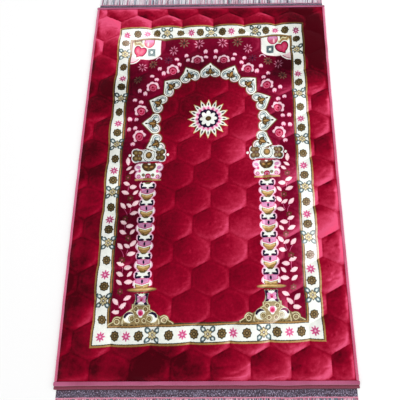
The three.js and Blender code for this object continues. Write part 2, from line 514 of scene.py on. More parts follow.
def painted_pile_light(x, y):
    """How much lighter the pile is painted at a point of the flat cloth: painted highlight and painted
    shade.
    """
    fall_x = (pad_height(x - probe, y) - pad_height(x + probe, y)) / (2 * probe)
    fall_y = (pad_height(x, y + probe) - pad_height(x, y - probe)) / (2 * probe)
    near_light = 1 - light_turn * fade(y - light_turns_from, light_turn_reach)
    faces = shine_right * fall_x + shine_near * near_light * fall_y
    lift = sum(
        most * fade(reach - math.hypot(x - patch_x, y - patch_y), reach)
        for patch_x, patch_y, reach, most in painted_light_patches
    )
    in_margin = fade(max(abs(x) - margin_x, abs(y) - margin_y), margin_fade)
    puff, _, (across_cell, up_cell) = cell_puff(x, y)
    # Painted highlight on slopes that face the light and painted shade on those that face away, with a
    # painted lean across each cell.
    relief = painted_slope_light * faces * (abs(faces) + 0.1)
    if relief < 0:
        relief *= shaded_side
    relief += painted_cell_lean * (lean_across * across_cell - near_light * up_cell)
    relief *= min(max(1 + light_patch_relief * lift, relief_least), relief_most)
    relief *= field_relief + margin_relief * in_margin
    # Painted highlight in a thin line a little inside each seam.
    crease_light = crease_shine * math.exp(-((1 - puff - crease_at) / crease_spread) ** 2)
    clouds = uneven(x / 70, y / 50, 21) + 0.6 * uneven(x / 26, y / 20, 33)
    return lift + relief + crease_light + cloud_shine * (1 + in_margin) * clouds


# The painted light and shade is kept on the mesh for the velvet's colour.
nap = velvet.data.attributes.new("nap", "FLOAT", "POINT")
for at, point in enumerate(flat_points):
    nap.data[at].value = painted_pile_light(*point)


class Finish:
    """A piece's material. Its node method adds any node, settings first and then sockets."""

    def __init__(self, name):
        self.material = bpy.data.materials.new(name)
        self.material.use_nodes = True
        self.tree = self.material.node_tree

    def node(self, kind, settings, sockets, output=0):
        made = self.tree.nodes.new("ShaderNode" + kind)
        for name, value in settings.items():
            if name == "stops":
                self.step_colours(made.color_ramp, value)
            else:
                setattr(made, name, value)
        self.feed(made, sockets)
        return Reading(self, made.outputs[output])

    def step_colours(self, ramp, stops):
        """Colours in steps, in place of the two that a new ramp has."""
        ramp.interpolation = "CONSTANT"
        ramp.elements.remove(ramp.elements[1])
        ramp.elements[0].position, ramp.elements[0].color = stops[0]
        for place, colour in stops[1:]:
            ramp.elements.new(place).color = colour

    def feed(self, made, sockets):
        for name, value in sockets.items():
            if isinstance(value, Reading):
                self.tree.links.new(value.socket, made.inputs[name])
            else:
                made.inputs[name].default_value = value

    def surface(self, sockets):
        """Sets the sockets of the piece's own shader."""
        self.feed(self.tree.nodes["Principled BSDF"], sockets)

    def uv_map(self, name):
        return self.node("UVMap", {"uv_map": name}, {})

    def attribute(self, name):
        return self.node("Attribute", {"attribute_name": name}, {}, 2)

    def mixed(self, colour, over, cover):
        """A colour with another laid over it where the cover is 1."""
        return self.node("Mix", {"data_type": "RGBA"}, {0: cover, 6: colour, 7: over}, 2)

    def grain(self, place, scale, detail=2, roughness=0.5, dimensions="2D", output=0):
        """Soft unevenness round 0.5; output 1 holds three of them, as a colour."""
        sockets = {"Vector": place, "Scale": scale, "Detail": detail, "Roughness": roughness}
        return self.node("TexNoise", {"noise_dimensions": dimensions}, sockets, output)

    def threads(self, place, scale, **how):
        """Grain drawn out into threads, with its own scale each way."""
        return self.grain(self.node("Mapping", {}, {"Vector": place, "Scale": scale}), 1, **how)

    def bump(self, height, distance, strength):
        return self.node("Bump", {}, {"Height": height, "Distance": distance, "Strength": strength})


class Reading:
    """A value read over a surface, used in sums as a number is."""

    def __init__(self, finish, socket):
        self.finish = finish
        self.socket = socket

    def sum(self, operation, *others, clamp=False):
        sockets = dict(enumerate((self, *others)))
        return self.finish.node("Math", {"operation": operation, "use_clamp": clamp}, sockets)

    def vector(self, operation, *others, output=0):
        """The same for a place or a colour; a length or distance comes from output 1."""
        sockets = dict(enumerate((self, *others)))
        return self.finish.node("VectorMath", {"operation": operation}, sockets, output)

    def across_and_up(self):
        """The two measures of a place."""
        across = self.finish.node("SeparateXYZ", {}, {0: self})
        return across, Reading(self.finish, across.socket.node.outputs[1])

    def paired(self, up):
        """A place from two measures."""
        return self.finish.node("CombineXYZ", {}, {0: self, 1: up})

    def __add__(self, other):
        return self.sum("ADD", other)

    __radd__ = __add__

    def __sub__(self, other):
        return self.sum("SUBTRACT", other)

    def __rsub__(self, other):
        return self.sum("MULTIPLY_ADD", -1, other)

    def __mul__(self, other):
        return self.sum("MULTIPLY", other)

    __rmul__ = __mul__

    def __truediv__(self, other):
        return self.sum("DIVIDE", other)

    def __abs__(self):
        return self.sum("ABSOLUTE")

    def __lt__(self, other):
        return self.sum("LESS_THAN", other)

    def __gt__(self, other):
        return self.sum("GREATER_THAN", other)

    def least(self, other):
        return self.sum("MINIMUM", other)

    def most(self, other):
        return self.sum("MAXIMUM", other)

    def near(self, number, reach=0.5):
        return self.sum("COMPARE", number, reach)

    def wave(self, times):
        return (self * times).sum("COSINE")

    def steep(self, times, plus):
        """Made steeper and kept between 0 and 1."""
        return self.sum("MULTIPLY_ADD", times, plus, clamp=True)

    def inside(self, soft=0.9, within=None):
        """1 inside an outline and 0 outside it, from the distance past the outline."""
        cover = self.steep(-1 / soft, 0.5)
        return cover if within is None else cover * within


def dye(red, green, blue):
    """A colour as a dyer's card reads, made linear for the shader."""
    parts = [value / 255 for value in (red, green, blue)]
    linear = [part / 12.92 if part < 0.04045 else ((part + 0.055) / 1.055) ** 2.4 for part in parts]
    return (*linear, 1)


crimson = dye(136, 1, 33)
wine = dye(112, 1, 36)
white = dye(240, 243, 236)
cream = dye(212, 202, 160)
petal = dye(243, 204, 210)
blush = dye(240, 188, 212)
mauve = dye(212, 142, 184)
pink = dye(210, 88, 138)
rose_red = dye(170, 28, 66)
heart_red = dye(196, 46, 88)
dusty = dye(204, 92, 124)
navy = dye(26, 14, 44)
slate = dye(80, 100, 104)
haze = dye(156, 176, 180)
gold = dye(168, 128, 72)
tan = dye(212, 180, 120)
khaki = dye(140, 120, 80)
olive = dye(104, 86, 50)
bark = dye(88, 60, 34)
moss = dye(50, 48, 38)
gilt = dye(160, 122, 70)
burst_dyes = {
    # petals, heart
    "gold_burst": (dye(132, 96, 78), moss),
    "dark_burst": (dye(104, 40, 66), navy),
    "pink_burst": (dye(208, 118, 148), wine),
}
# Colour of the painted highlight on deep colours.
highlight_pink = dye(240, 106, 150)
sheen_pink = dye(240, 150, 180)

# The print's edges are a little furred, because it stands on the tips of the pile.
fur = (2.2, 2.2, 0)
in_mm = (1 / mm, 1 / mm, 0)
velvet_finish = Finish("printed_velvet")
cloth = velvet_finish.uv_map("cloth")
own = velvet_finish.uv_map("motif")
kind_here = velvet_finish.attribute("motif_kind")
# The painted light and shade kept on the mesh.
painted_light_here = velvet_finish.attribute("nap")
fuzz = velvet_finish.grain(cloth, 420, output=1).vector("SUBTRACT", (0.5, 0.5, 0.5))
fuzz = fuzz.vector("MULTIPLY", fur)

# A motif's own measures: the point, across, up, out from the middle, and the turn.
spot = own.vector("MULTIPLY_ADD", in_mm, fuzz)
x, y = spot.across_and_up()
side = abs(x)
folded = side.paired(y)
out = spot.vector("LENGTH", output=1)
angle = x.sum("ARCTAN2", y)


def away(point, centre):
    """Distance from a point of the motif."""
    return point.vector("DISTANCE", (*centre, 0), output=1)


def disc(point, centre, radius):
    """Distance past a disc's outline."""
    return away(point, centre) - radius


def ring(point, centre, radius, half):
    """Distance past the edges of a ring's line."""
    return abs(disc(point, centre, radius)) - half


def oval(point, centre, half, turn=0):
    """Distance past an oval's outline, near enough, in millimetres."""
    cosine, sine = math.cos(math.radians(turn)), math.sin(math.radians(turn))
    from_centre = point.vector("SUBTRACT", (*centre, 0))
    along = from_centre.vector("DOT_PRODUCT", (cosine / half[0], sine / half[0], 0), output=1)
    across = from_centre.vector("DOT_PRODUCT", (-sine / half[1], cosine / half[1], 0), output=1)
    return (along.paired(across).vector("LENGTH", output=1) - 1) * min(half)


def bar(middle, half_wide, half_high):
    """Distance past a rectangle that stands on the motif's upright line."""
    return (side - half_wide).most(abs(y - middle) - half_high)


def pointed(middle, half_wide, half_high, cut):
    """Distance past a leaf on the same line, which tapers up and down and is cut at its tips."""
    share = (y - middle) / half_high
    return (side - half_wide * (1 - share * share)).most(abs(y - middle) - cut)


def heart(across, up, size):
    """Distance past a heart's outline; its point is down."""
    return oval(abs(across).paired(up), (0.3 * size, 0.08 * size), (0.64 * size, 0.46 * size), 48)


class Print:
    """A print being painted: its colour so far.

    An edge is a distance past an outline. The rest of a call says how soft the coat's edge is,
    and within what cover it stays.
    """

    def __init__(self, colour):
        self.colour = colour

    def paint(self, colour, edge, **how):
        cover = edge.inside(**how)
        self.colour = velvet_finish.mixed(self.colour, colour, cover)
        return cover

    def coats(self, edge, *coats):
        """Coats inside one another, each by how far it stays back from one edge."""
        for back, colour in coats:
            self.paint(colour, edge + back)

    def lay(self, motif):
        """A finished motif, laid wherever the cloth holds its kind."""
        cover = motif.cover * kind_here.near(motif_kinds.index(motif.kind))
        self.colour = velvet_finish.mixed(self.colour, motif.colour, cover)


class Motif(Print):
    """A motif, painted in the same way: its kind, and the part of the cloth that it covers."""

    def __init__(self, kind, colour, edge, **how):
        super().__init__(colour)
        self.kind = kind
        self.cover = edge.inside(**how)

    def spread(self, colour, edge, **how):
        """Paint that also covers more of the cloth."""
        self.cover = self.cover.most(self.paint(colour, edge, **how))


# The ground is darker outside the arch, and the border runs round it all.
frame_half_x = 269
frame_half_y = 446
border_half_x = 318.5
border_half_y = 500
piping = 4.4
outer_piping = 6.8
inner_piping = 8.6
gold_line_at = 5
gold_line_half = 1.9
arch_ground = arch_ring - 12
place = cloth.vector("MULTIPLY_ADD", in_mm, fuzz)
flat_x, flat_y = place.across_and_up()
past_frame = (abs(flat_x) - frame_half_x).most(abs(flat_y) - frame_half_y)
past_border = (abs(flat_x) - border_half_x).most(abs(flat_y) - border_half_y)
past_arch = disc(place, (arch_axis, arch_foot), arch_ground)
past_columns = (abs(flat_x - column_line) - column_axis).most(flat_y - arch_foot)
outside_arch = 1 - past_arch.least(past_columns).inside(5)
outside_frame = 1 - past_frame.inside()
rug_print = Print(crimson)
rug_print.paint(wine, past_frame, within=outside_arch)
rug_print.paint(gilt, past_border, within=outside_frame)
rug_print.paint(moss, past_border + piping, within=outside_frame)
rug_print.paint(gilt, abs(past_frame - gold_line_at) - gold_line_half, soft=1.4)
white_band = 1 - (past_frame - inner_piping).inside()
rug_print.paint(white, past_border + outer_piping, within=white_band)

# Border motifs: an eight-point star, a lobed button, and a six-petal flower with corner leaves.
lobes = angle.wave(8)
star = Motif("star", blush, out - 10.4 - 2.8 * lobes)
star.paint(pink, out - 9.2 - 2.8 * lobes)
star.paint(blush, out - 2.6)
rug_print.lay(star)

button = Motif("button", moss, out - 12.6 - 0.9 * lobes)
button.paint(olive, out - 10.4 - 0.9 * lobes)
button.paint(khaki, abs(out - 7.4) - 1.2, within=(0.2 - lobes).inside(0.8))
button.paint(bark, out - 9, within=(lobes + 0.4).inside(0.5))
button.coats(out, (-4.6, moss), (-2.6, khaki))
rug_print.lay(button)

both_sides = spot.vector("ABSOLUTE")
corner_leaf = oval(both_sides, (13, 11.5), (10, 7), 42)
tile = Motif("tile", moss, corner_leaf)
tile.coats(corner_leaf, (1, slate), (3.6, haze), (5, white))
petals = abs(angle.wave(3))
flower = out - 8 - 5.4 * petals
tile.spread(moss, flower)
tile.coats(flower, (1.5, khaki), (3, cream))
tile.paint(gold, out - 8, within=(petals - 0.3).inside(0.3))
tile.coats(out, (-3.8, bark), (-1.6, white))
rug_print.lay(tile)

# Rosette: sixteen slit petals round rings of pink and navy, and a white flower.
sixteenth = angle.sum("PINGPONG", math.pi / 16) * (16 / math.pi)
rosette = Motif("rosette", bark, out - 62 + 12 * sixteenth)
rosette.spread(tan, out - 68 + 26 * sixteenth)
rosette.paint(white, out - 62.5 + 22 * sixteenth)
slit_half = 2.8
slit = abs(out - 50) / 8 + sixteenth * out * (math.pi / 16 / slit_half)
rosette.paint(moss, (slit - 1) * slit_half)
rosette.paint(blush, out - 45 + 6 * sixteenth)
rosette.paint(pink, out - 42 + 12 * sixteenth)
rosette.paint(navy, out - 32 - 2 * abs(angle.wave(8)))
rosette.paint(white, out - 18.5 - 9.5 * abs(angle.wave(4)))
rosette.coats(out, (-9.4, bark), (-3, olive))
rug_print.lay(rosette)

# Palmette: a broad spade with its tip outward, a scroll in each shoulder and a brown leaf.
flank = (side + 1.04 * y - 34.3) * 0.69
shoulders = disc(folded, (17, -9), 18.5)
spade = shoulders.least(flank.most(-8 - y).most(side - 34))
low_down = (y - 10).inside(10)
palmette = Motif("palmette", olive, spade - 0.6, soft=2)
palmette.paint(khaki, spade + 0.8, soft=1.4)
palmette.paint(white, spade + 2.4)
palmette.paint(moss, abs(spade + 7) - 0.9, within=low_down)
palmette.paint(haze, spade + 8, within=low_down)
palmette.paint(white, abs(spade + 9.4) - 0.7, within=low_down)
palmette.paint(slate, abs(spade + 12) - 0.9, within=low_down)
palmette.paint(white, disc(folded, (15.4, -12), 5))
palmette.paint(blush, abs(spade + 3.4) - 1.1, within=(y + 20).inside(4))
brown_leaf = pointed(-1, 6.4, 13, 12.6)
side_leaf = oval(folded, (8, -6), (7, 4.6), 40)
palmette.paint(moss, brown_leaf.least(side_leaf) - 1.2)
palmette.paint(bark, side_leaf)
palmette.paint(khaki, side_leaf + 2.8)
palmette.paint(bark, brown_leaf)
palmette.paint(gold, brown_leaf + 2.8, soft=1.6)
palmette.paint(moss, oval(spot, (0, 17.5), (2.8, 4.6)).least(bar(13, 0.7, 5)))
rug_print.lay(palmette)

# Flowers of the arch: roses with a scalloped hood, buds, and bursts of eight petals.
scallops = abs(angle.wave(3.5))
hooded = (-6 - y).inside(5)
rose = Motif("rose", wine, out - 18 - 3 * scallops)
rose.spread(blush, (out - 18.4 - 3.6 * scallops).most(13.6 - out), within=hooded)
rose.paint(petal, (out - 17 - 3 * scallops).most(15.4 - out), within=hooded)
rose.paint(rose_red, out - 11.8 - 0.9 * angle.wave(5))
rose.paint(dusty, ring(spot, (0, -2.4), 9, 1.3), within=(out - 12.4).inside())
rose.paint(dusty, ring(spot, (0.8, 0.8), 5.2, 1))
rose.paint(crimson, disc(spot, (1, 1.6), 3))
rug_print.lay(rose)

bud = Motif("bud", pink, out - 7.6)
bud.paint(blush, disc(spot, (0, 0.6), 6.4))
bud.paint(petal, disc(spot, (0, 2.2), 4.4), soft=1.6)
bud.paint(rose_red, oval(spot, (0, -5.6), (2.2, 2.8)))
rug_print.lay(bud)

from_petal = out * angle.sum("PINGPONG", math.pi / 8).sum("SINE")
along_petal = (out - 11.6) / 6.4
thin_petal = from_petal - 2.3 * (1 - along_petal * along_petal)
for kind, (petal_dye, heart_dye) in burst_dyes.items():
    burst = Motif(kind, petal_dye, thin_petal)
    burst.spread(heart_dye, out - 4)
    rug_print.lay(burst)

# Vine: a leaf with a pale blade, a curved stem and a small flower.
leaf = Motif("leaf", pink, pointed(0, 6.4, 13, 12.7))
leaf.paint(petal, pointed(0, 5.8, 12.4, 12))
leaf.paint(white, oval(spot, (-1.4, 1), (2, 6)), soft=3, within=0.5)
rug_print.lay(leaf)

stem = Motif("stem", pink, (abs(x - (y / 12) * (y / 12)) - 1.3).most(abs(y) - 25))
rug_print.lay(stem)

sprig = Motif("sprig", bark, out - 5 - 4.4 * petals, soft=3, within=0.75)
sprig.paint(dusty, out - 2.4)
rug_print.lay(sprig)

# Capital: a ring between two brown four-lobed flowers, with a pearl at each end.
plate = disc(both_sides, (40, 9), 14).least(bar(0, 46, 20)).least(out - 21)
capital = Motif("capital", blush, plate)
capital.paint(white, plate + 1)
capital.paint(slate, abs(plate + 3.4) - 0.8)
capital.paint(haze, bar(-17.6, 44, 1.1))
capital.spread(white, disc(folded, (59, 0), 4))
four_lobes = disc(both_sides, (41, 8.6), 8.8).least(disc(both_sides, (29.6, 9), 7.6))
capital.coats(four_lobes, (-0.6, moss), (1, bark), (3, olive), (5.6, khaki))
capital.paint(bark, (abs(side - 35) - 0.9).most(abs(y) - 15))
capital.paint(bark, (abs(y) - 1.2).most(abs(side - 36) - 13))
capital.paint(white, oval(folded, (50, 0), (5, 3)))
capital.coats(out, (-20.2, slate), (-18, white))
capital.paint(slate, abs(out - 14.4) - 0.5)
capital.coats(out, (-11, bark), (-9.4, olive))
capital.paint(gold, disc(spot, (1, 1), 6), soft=2)
rug_print.lay(capital)

# Abacus: pale scrolls round a brown heart and a small rose, on a golden rule.
upper_curl = disc(folded, (30, 14), 14)
lower_curl = disc(folded, (27, -11), 13)
body = upper_curl.least(lower_curl).least(bar(2, 30, 25))
abacus = Motif("abacus", mauve, body)
abacus.coats(body, (1.4, blush), (4, white))
abacus.paint(mauve, oval(folded, (31, 14), (8, 6), 20))
abacus.paint(pink, oval(folded, (26, 2), (4, 5.4)), soft=1.6)
abacus.paint(rose_red, ring(folded, (28, -15), 5.2, 1))
abacus.paint(mauve, disc(folded, (28, -15), 4))
abacus.coats(away(folded, (14, -11)), (-5, slate), (-3.4, khaki))
abacus.coats(heart(x, y - 13, 24), (-4, white), (-0.6, moss), (1, bark))
abacus.paint(gold, oval(folded, (8, 15), (5, 3), 20), soft=2)
abacus.paint(olive, oval(spot, (0, 7), (3, 7)), soft=1.6)
abacus.paint(white, disc(spot, (0, 27), 4.4))
abacus.paint(rose_red, disc(spot, (0, -15), 9).most(side - 12))
abacus.paint(mauve, ring(spot, (0, -17), 5.2, 1))
abacus.paint(dusty, disc(spot, (0, -15), 2.4))
abacus.spread(gold, bar(-25.6, 39, 2.4))
abacus.paint(tan, bar(-25, 37, 1))
abacus.paint(khaki, bar(-24.6, 13, 4.4))
abacus.paint(gold, bar(-24, 11, 2))
rug_print.lay(abacus)

# Shaft: navy wings over a mauve cup with a navy drop, on a golden cup.
upper_lobe = disc(folded, (12.6, 15), 13)
lower_lobe = disc(folded, (14.4, -9), 13)
cups = upper_lobe.least(lower_lobe).least(bar(0, 19, 27))
shaft = Motif("shaft", pink, cups)
shaft.coats(cups, (0.8, blush), (4, white))
soft_cup = (y - 0.2 * side - 6).most(-12 - y + 0.3 * side).most(side - 20)
shaft.paint(pink, soft_cup)
shaft.paint(mauve, soft_cup + 2.4, soft=2)
wing_tip = disc(folded, (17, 18.4), 4)
wing_bar = oval(folded, (12, 9), (9.6, 3.4), -6)
wing_bend = oval(folded, (18.6, 13), (2.6, 5.4))
shaft.paint(navy, wing_tip.least(wing_bar).least(wing_bend))
shaft.paint(navy, oval(spot, (0, -2.4), (3, 5.8)))
golden_cup = (y + 14.6 - 0.3 * side).most(-36.4 - y + 1.05 * side).most(side - 19)
shaft.paint(olive, golden_cup)
shaft.paint(gold, golden_cup + 2, soft=2)
shaft.paint(tan, (abs(y + 17.6 - 0.26 * side) - 2.2).most(side - 15), soft=2)
shaft.paint(olive, 0.95 * side - (y - 15), within=(20 - y).inside(2))
rug_print.lay(shaft)

# Saucer and neck: a golden dish under the shafts, and a waisted block on the foot.
dish_slope = 0.5 * abs(y - 3)
saucer = Motif("saucer", khaki, (side - 17 + dish_slope).most(abs(y - 3) - 7.6))
saucer.paint(gold, (side - 13 + dish_slope).most(abs(y - 4) - 5))
saucer.spread(olive, oval(spot, (0, 0), (40, 6)))
saucer.paint(gold, oval(spot, (0, 0.8), (39, 4.2)))
saucer.paint(tan, oval(spot, (-4, 1.2), (26, 1.8)))
rug_print.lay(saucer)

waist = side - 18 - 0.018 * ((y - 4) * (y - 4))
neck = Motif("neck", slate, waist.most(abs(y) - 16.5))
for back, half_high, colour in ((1.4, 15.4, cream), (3, 14.4, moss), (4.4, 12.8, white)):
    neck.paint(colour, (waist + back).most(abs(y) - half_high))
neck.paint(navy, (abs(side - 14 - 0.1 * y) - 2.2).most(abs(y) - 12))
neck.paint(navy, oval(both_sides, (13, 10.5), (6, 3.6), 38))
neck.paint(mauve, oval(both_sides, (6, 3.4), (7.4, 4.6), 22))
neck.paint(pink, out - 5)
neck.paint(rose_red, disc(spot, (0, -3), 3))
rug_print.lay(neck)

# Foot: a bell of scrolls with a pink flower, and a scroll that runs out along the border.
eye = away(folded, (33, -8))
bell = oval(spot, (0, -24), (54, 44)).least((side - 27).most(y - 26)).least((side - 53).most(y + 14))
runner = disc(folded, (64, -17), 14).least((y + 8 + 0.5 * (side - 60)).most(side - 92))
foot = Motif("foot", olive, bell.least(runner))
foot.coats(bell, (1.6, cream), (3.6, olive), (5, khaki))
foot.coats(eye, (-15.6, cream), (-14.2, white))
lower_crescent = (14.2 - away(folded, (28, -14))).inside() * (-10 - y).inside(2)
foot.paint(navy, eye - 14, within=lower_crescent)
inner_eye = away(folded, (25, -12))
foot.coats(inner_eye, (-9.4, olive), (-7.8, cream), (-6, olive), (-3.6, khaki))
foot.paint(cream, ring(folded, (10, -17), 5.6, 1.1))
foot.paint(bark, ring(folded, (10, -17), 3.4, 1.2))
foot.paint(cream, ring(folded, (14, 13), 6.4, 1), within=(bell + 3).inside())
foot.paint(bark, ring(folded, (14, 13), 4.2, 1.1), within=(bell + 3).inside())
foot.paint(white, disc(folded, (5, 5), 7))
foot.paint(white, disc(spot, (0, -3), 6))
foot.paint(mauve, disc(spot, (0, 5), 7.4))
foot.paint(pink, disc(spot, (0, 2.6), 7.6))
foot.paint(rose_red, disc(spot, (0, 2), 4.6), soft=2)
foot.paint(cream, runner + 1.6, within=(54 - side).inside())
foot.paint(olive, runner + 4, within=(54 - side).inside())
foot.coats(away(folded, (65, -18)), (-8, cream), (-5.6, bark), (-3.4, khaki))
rug_print.lay(foot)

# Corner: a white patch with a great pink heart, a tulip, a slate square and a golden ribbon.
patch = (side - 50).most(-5 - y).least((-25 - x).most(-30 - y)).least(disc(spot, (-25, -5), 25))
low_petal = away(spot, (47, -18))
corner = Motif("corner", petal, patch.least(low_petal - 33))
corner.paint(white, patch + 2)
corner.coats(low_petal, (-32, white), (-29, dusty), (-26, petal))
corner.paint(white, disc(spot, (24, 0), 29))
corner.spread(blush, ring(spot, (-47, -36), 9, 1.8).most(-36 - y))
tulip = oval(spot, (-11, 32), (18, 22))
corner.paint(rose_red, tulip)
corner.paint(dusty, tulip + 2.6, soft=1.6)
corner.paint(mauve, tulip + 3, soft=2, within=(30 - y).inside(8))
corner.paint(petal, oval(spot, (-7, 24), (3, 8)), soft=3)
ribbon = y - 29 - 3.4 * x.wave(0.28) - 0.6 * (x - 30)
corner.paint(olive, (8 - ribbon).most(14 - x))
corner.paint(cream, (abs(ribbon) - 11).most(6 - x))
corner.paint(khaki, (abs(ribbon) - 5.6).most(9 - x), soft=1.6)
corner.paint(gold, (abs(ribbon) - 2).most(12 - x), soft=1.6)
heart_x = 0.92 * (x - 22) + 0.4 * (y + 1)
heart_y = 0.92 * (y + 1) - 0.4 * (x - 22)
heart_point = (abs(heart_x) * 0.9 - heart_y * 0.6 - 13).most(heart_y - 2)
great_heart = heart(heart_x, heart_y, 26).least(heart_point)
corner.coats(great_heart, (-4.4, white), (-2, wine))
corner.paint(heart_red, great_heart + 1.8, soft=1.6)
corner.paint(dusty, great_heart + 7, soft=5, within=0.6)
square = abs(x + 20).most(abs(y + 6)) - 12
corner.paint(slate, square)
diagonals = abs(abs(x + 20) - abs(y + 6)) - 0.8
corner.paint(haze, diagonals, within=square.inside(within=0.6))
corner.paint(white, disc(spot, (-20, -6), 4.4))
corner.cover = corner.cover * past_frame.inside()
rug_print.lay(corner)

# Painted light: the stored painted light and a random mottle scale the print's colours lighter or
# darker, the deep ones most, and the brightest places get a painted pink highlight.
shine_strength = 1.05
least_bright = 0.25
highlight_most = 0.6
# A random mottle in the painted light.
shine_mottle = velvet_finish.grain(cloth, 110, detail=5, roughness=0.7)
shine = painted_light_here + 0.8 * (shine_mottle - 0.5)
depth = 1 - 0.8 * velvet_finish.node("RGBToBW", {}, {0: rug_print.colour})
bright = (1 + shine_strength * shine * depth).most(least_bright)
scaled = {0: rug_print.colour, "Scale": bright}
lit = velvet_finish.node("VectorMath", {"operation": "SCALE"}, scaled)
pigment = velvet_finish.node("SeparateColor", {}, {0: rug_print.colour}, 1)
# The painted highlight: pink on deep colours, white on pale ones, laid over the brightest places.
highlight_colour = velvet_finish.mixed(highlight_pink, white, (10 * pigment).least(1))
glow = shine.most(0)
highlighted = velvet_finish.mixed(lit, highlight_colour, (0.25 * glow * glow).least(highlight_most))
pile = velvet_finish.grain(cloth, 1400)
velvet_finish.surface(
    {
        "Base Color": highlighted,
        "Roughness": 0.85,
        "Specular IOR Level": 0.04,
        "Sheen Weight": 0.08,
        "Sheen Roughness": 0.4,
        "Sheen Tint": sheen_pink,
        "Normal": velvet_finish.bump(pile, 0.0006, 0.5),
    }
)

velvet.data.materials.append(velvet_finish.material)
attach(velvet, "root")
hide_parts("quilted_velvet")


# ---------------------------------------------------------------------------------------------
# Side tapes.
# A tape of pink velvet along each long edge, folded over the rim so that it grips it above and
# below. Its row of stitches near its inner edge is not modelled.
# ---------------------------------------------------------------------------------------------
tape_section = (
    # in from the rug's edge, up from the floor
    (9, 0.7),
    (5, 0.6),
    (2, 0.9),
    (0.8, 2),
    (0.5, 4),
    (0.9, 5.9),
    (2.4, 7.2),
    (4.6, 7.9),
    (7, 7.7),
    (9, 7.4),
)
tape_thick = 1
tape_top = 8
strip_step = 6
tape_deep = dye(176, 50, 92)
tape_pale = dye(226, 120, 156)


def sewn_strip(name, section, length, thick, to_place):
    """A strip of cloth drawn along an edge, and the width of its section laid flat.

    The section is a path of two measures. The strip's UV map runs along it, and across it by
    distance, or by the section's third number where it has one.
    """
    stations = math.ceil(length / strip_step)
    bpy.ops.object.select_all(action="DESELECT")
    bpy.ops.mesh.primitive_grid_add(x_subdivisions=len(section) - 1, y_subdivisions=stations, size=1)
    strip = bpy.context.object
    strip.name = strip.data.name = name
    run = [0]
    for before, after in zip(section, section[1:]):
        run.append(run[-1] + math.dist(before[:2], after[:2]))
    across = [point[2] if len(point) > 2 else gone * mm for point, gone in zip(section, run)]
    strip_map = strip.data.uv_layers.new(name="strip")
    for loop in strip.data.loops:
        station, at = divmod(loop.vertex_index, len(section))
        strip_map.data[loop.index].uv = ((station / stations - 0.5) * length * mm, across[at])
    for vertex in strip.data.vertices:
        station, at = divmod(vertex.index, len(section))
        x, y, z = to_place(*section[at][:2], (station / stations - 0.5) * length)
        vertex.co = (*laid(x, y), z * mm)
    wall = strip.modifiers.new("wall", "SOLIDIFY")
    wall.thickness = thick * mm
    wall.offset = 0
    bpy.ops.object.modifier_apply(modifier="wall")
    soft = strip.modifiers.new("soft", "SUBSURF")
    soft.levels = soft.render_levels = 1
    bpy.ops.object.modifier_apply(modifier="soft")
    face_outwards()
    return strip, run[-1]


tape_finish = Finish("pink_tape")
strip_place = tape_finish.uv_map("strip")
slub = tape_finish.threads(strip_place, (300, 900, 1))
patchy = tape_finish.grain(strip_place, 14)
tape_finish.surface(
    {
        "Base Color": tape_finish.mixed(tape_deep, tape_pale, (slub - 0.5) * 0.8 + patchy),
        "Roughness": 0.8,
        "Sheen Weight": 0.3,
        "Normal": tape_finish.bump(slub, 0.0004, 0.6),
    }
)

for side_name, way in (("left", -1), ("right", 1)):

    def round_edge(inward, up, along):
        wander = 0.7 * uneven(along / 40, way * 9, 0)
        lift = 0.5 * uneven(along / 28, way * 9, 5)
        free = up / tape_top
        return way * (rug_width / 2 - inward + wander * free), along, up + lift * free

    name = f"tape_{side_name}"
    tape, width = sewn_strip(name, tape_section, 2 * velvet_end, tape_thick, round_edge)
    tape.data.materials.append(tape_finish.material)
    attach(tape, "root")
    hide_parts(f"side_tape_{side_name}")


# ---------------------------------------------------------------------------------------------
# End bands.
# A doubled pink band folded over each end of the rug: a plump roll beside the velvet, a groove
# where it is stitched down, and a flat stripe beyond. It lies a little wavy.
# ---------------------------------------------------------------------------------------------
rug_ends = (
    # name, way along the rug, and widths of roll, groove and stripe
    ("near", -1, 10.5, 3.5, 6.5),
    ("far", 1, 6.5, 2, 2.5),
)
band_deep = dye(140, 44, 82)
band_pale = dye(198, 98, 142)
groove_dark = dye(104, 16, 42)
stripe_deep = dye(90, 16, 40)
stripe_pale = dye(146, 56, 84)


def waviness(along, way):
    """How far the end of the rug wanders from a straight line."""
    return 1.6 * uneven(along / 85, way * 4, 0) + 0.5 * uneven(along / 23, way * 4, 9)


band_finish = Finish("end_band")
strip_place = band_finish.uv_map("strip")
along_band, band_part = strip_place.across_and_up()
slub = band_finish.threads(strip_place, (700, 1, 1))
patchy = band_finish.grain(along_band.paired(0), 11)
roll_pink = band_finish.mixed(band_deep, band_pale, (slub - 0.5) * 0.7 + patchy)
band_colour = band_finish.mixed(roll_pink, groove_dark, band_part > 0.6)
red_stripe = band_finish.mixed(stripe_deep, stripe_pale, slub)
in_stripe = (band_part > 1.4) * (band_part < 2.6)
band_finish.surface(
    {
        "Base Color": band_finish.mixed(band_colour, red_stripe, in_stripe),
        "Roughness": 0.8,
        "Sheen Weight": 0.3,
        "Normal": band_finish.bump(slub, 0.0004, 0.6),
    }
)

